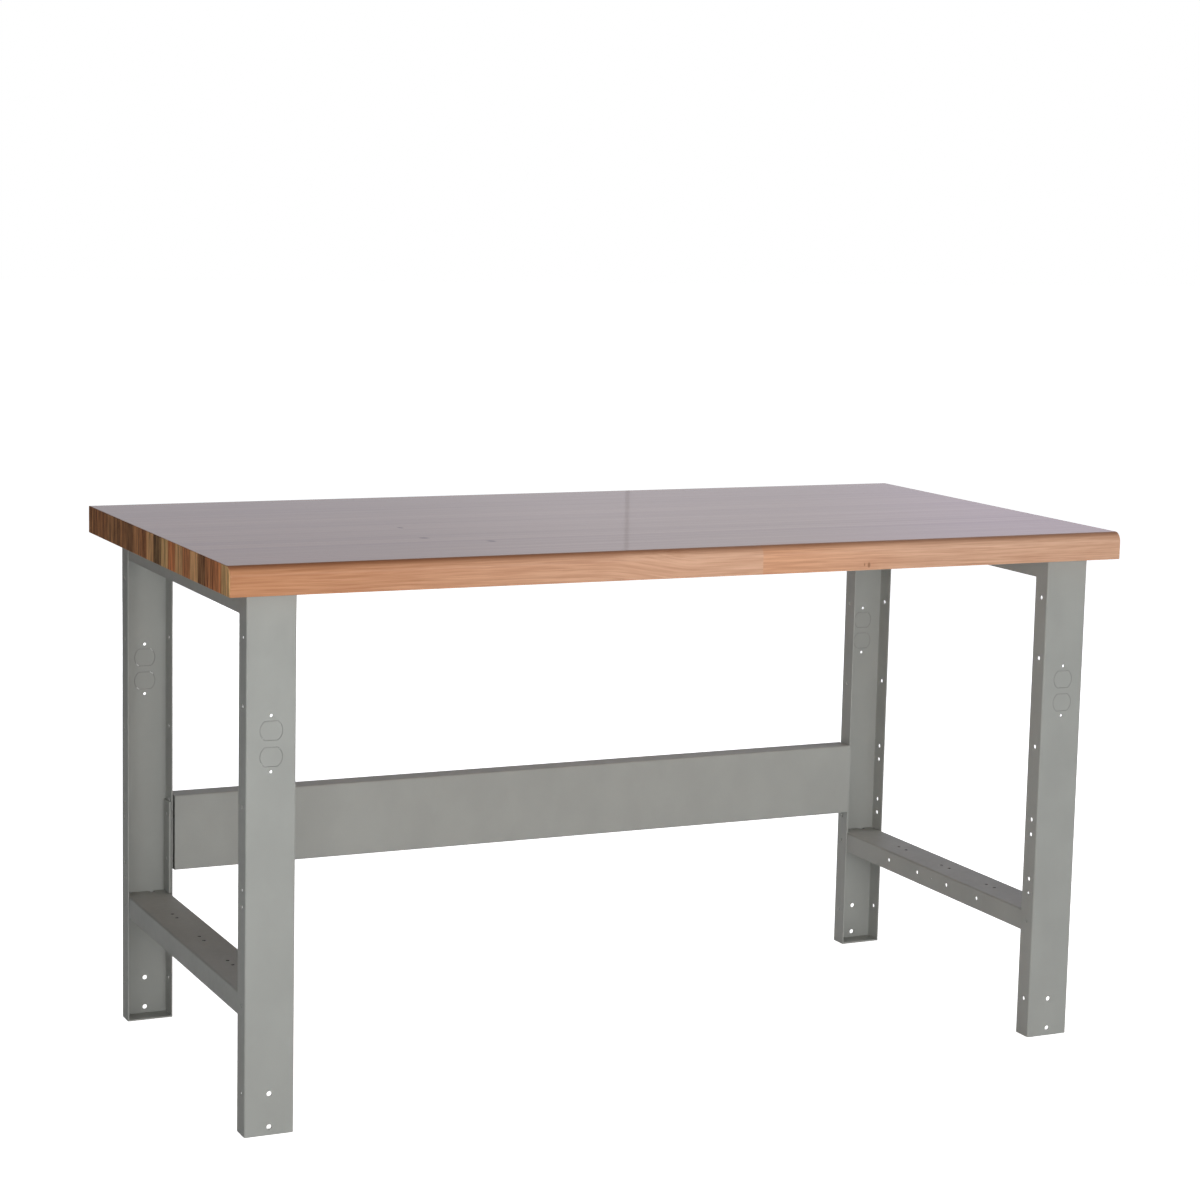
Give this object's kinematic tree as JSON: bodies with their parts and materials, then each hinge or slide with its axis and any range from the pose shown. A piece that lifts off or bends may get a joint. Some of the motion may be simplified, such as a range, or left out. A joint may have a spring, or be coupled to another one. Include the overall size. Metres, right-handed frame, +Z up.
{
  "type": "workbench",
  "caption": "Industrial workbench: a thick laminated hardwood top on two folded steel leg frames, tied at the back by a folded steel stringer.",
  "frame": {"origin": "on the floor under the middle of the top", "axes": "+X along the bench's length to the user's right, +Y to the back, +Z up"},
  "size_m": [1.524, 0.762, 0.8572],
  "materials": {
    "wood": "satin lacquer",
    "paint": "semi-gloss powder coat",
    "zinc": "zinc plated"
  },
  "bodies": {
    "root": {"front_board_left": "wood", "front_board_right": "wood", "stave_02": "wood", "stave_03": "wood", "stave_04": "wood", "stave_05": "wood", "stave_06": "wood", "stave_07": "wood", "stave_08": "wood", "stave_09": "wood", "stave_10": "wood", "stave_11": "wood", "stave_12": "wood", "stave_13": "wood", "stave_14": "wood", "stave_15": "wood", "stave_16": "wood", "stave_17": "wood", "stave_18": "wood", "stave_19": "wood", "stave_20": "wood", "upright_front_left": "paint", "upright_front_right": "paint", "upright_rear_left": "paint", "upright_rear_right": "paint", "upper_rail_left": "paint", "upper_rail_right": "paint", "lower_rail_left": "paint", "lower_rail_right": "paint", "stringer": "paint", "backing_plate_left": "paint", "backing_plate_right": "paint", "stringer_bolt_left_upper": "zinc", "stringer_bolt_left_lower": "zinc", "stringer_bolt_right_upper": "zinc", "stringer_bolt_right_lower": "zinc", "stringer_spacer_left_upper": "zinc", "stringer_spacer_left_lower": "zinc", "stringer_spacer_right_upper": "zinc", "stringer_spacer_right_lower": "zinc", "top_screw_left_1": "zinc", "top_screw_left_2": "zinc", "top_screw_left_3": "zinc", "top_screw_left_4": "zinc", "top_screw_right_1": "zinc", "top_screw_right_2": "zinc", "top_screw_right_3": "zinc", "top_screw_right_4": "zinc"}
  },
  "joints": []
}
